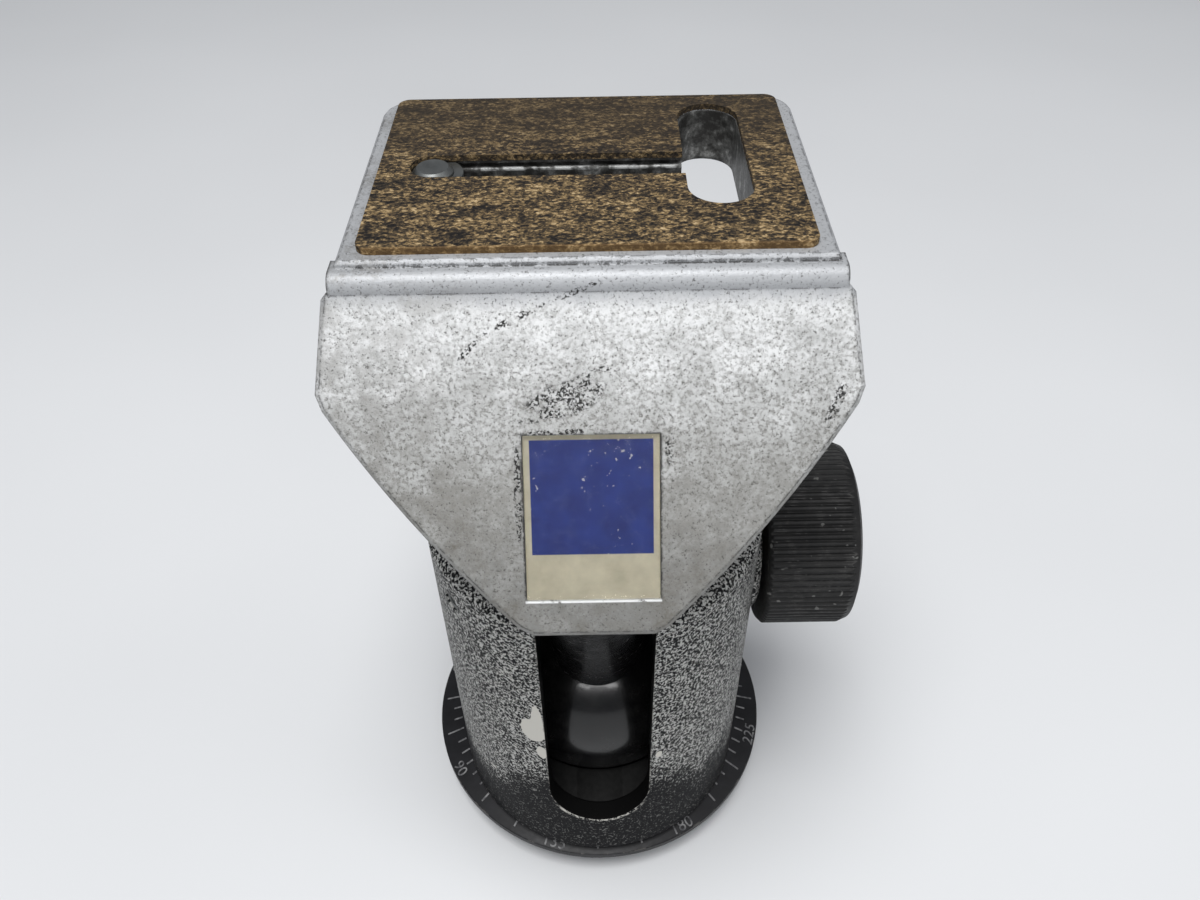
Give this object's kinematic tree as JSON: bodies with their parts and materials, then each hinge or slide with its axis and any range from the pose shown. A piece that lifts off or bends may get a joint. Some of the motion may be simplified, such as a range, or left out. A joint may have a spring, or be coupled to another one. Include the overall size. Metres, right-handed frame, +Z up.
{
  "type": "tripod ball head",
  "caption": "Off-centre tripod head: panning housing with a ball and neck in a front notch, a side lock knob and a bent cork-topped camera platform.",
  "frame": {"origin": "centre of the tripod thread at the base's underside", "axes": "+Z up along the pan axis, -Y towards the front notch, +X towards the lock knob"},
  "size_m": [0.0915, 0.0903, 0.1552],
  "materials": {
    "black_paint": "satin",
    "black_gloss": "gloss",
    "hammer_paint": "hammered",
    "silver_paint": "textured",
    "cork": "granular",
    "black_plastic": "matte",
    "seat_plastic": "matte",
    "steel": "brushed",
    "bronze": "satin",
    "label_card": "printed",
    "label_window": "clear"
  },
  "bodies": {
    "base": {"pan_base": "black_paint", "foot_plate": "steel", "foot_screws": "steel", "thrust_washer": "seat_plastic"},
    "turret": {"housing": "hammer_paint", "cap": "hammer_paint", "cap_screws": "steel", "ball_seat": "seat_plastic", "lock_bush": "bronze", "pan_retainer": "steel", "retainer_screws": "steel", "drag_spring": "steel"},
    "ball": {"ball": "black_gloss"},
    "bracket": {"neck": "black_gloss", "neck_screws": "steel", "platform": "silver_paint", "cork_pad": "cork", "badge_card": "label_card", "badge_window": "label_window"},
    "lock": {"main_knob": "black_plastic", "lock_screw": "steel", "knob_pin": "steel"},
    "wedge": {"wedge": "steel"},
    "shoe": {"lock_shoe": "steel", "shoe_lining": "seat_plastic"},
    "screw_slider": {"screw_clip": "steel"},
    "screw_lifter": {"screw_washer": "steel"},
    "screw": {"camera_screw": "steel", "screw_knob": "black_plastic"}
  },
  "joints": [
    {"name": "pan", "type": "hinge", "parent": "base", "child": "turret", "pos_m": [0, 0, 0], "axis": [0, 0, 1], "continuous": true},
    {"name": "tilt", "type": "hinge", "parent": "turret", "child": "ball", "pos_m": [0, -0.0075, 0.0387], "axis": [1, 0, 0], "range_deg": [-3, 70]},
    {"name": "ball_spin", "type": "hinge", "parent": "ball", "child": "bracket", "pos_m": [0, -0.0075, 0.0387], "axis": [0, -0.4067, 0.9135], "continuous": true},
    {"name": "lock_turn", "type": "hinge", "parent": "turret", "child": "lock", "pos_m": [0.044, -0.001, 0.0742], "axis": [1, 0, 0], "range_deg": [-300, 0]},
    {"name": "wedge_slide", "type": "slide", "parent": "turret", "child": "wedge", "axis": [1, 0, 0], "range_m": [0, 0.00104]},
    {"name": "shoe_press", "type": "slide", "parent": "turret", "child": "shoe", "axis": [0, 0, 1], "range_m": [-0.0002219, 0]},
    {"name": "screw_travel", "type": "slide", "parent": "bracket", "child": "screw_slider", "axis": [1, 0, 0], "range_m": [0, 0.032]},
    {"name": "screw_lift", "type": "slide", "parent": "screw_slider", "child": "screw_lifter", "axis": [0, 0, 1], "range_m": [0, 0.0055]},
    {"name": "screw_turn", "type": "hinge", "parent": "screw_lifter", "child": "screw", "pos_m": [-0.024, 0.004, 0.131], "axis": [0, 0, 1], "continuous": true}
  ],
  "couplings": [
    {"joint": "wedge_slide", "follows": "lock_turn", "m_per_rad": -0.00019894},
    {"joint": "shoe_press", "follows": "lock_turn", "m_per_rad": 0.000042287}
  ]
}
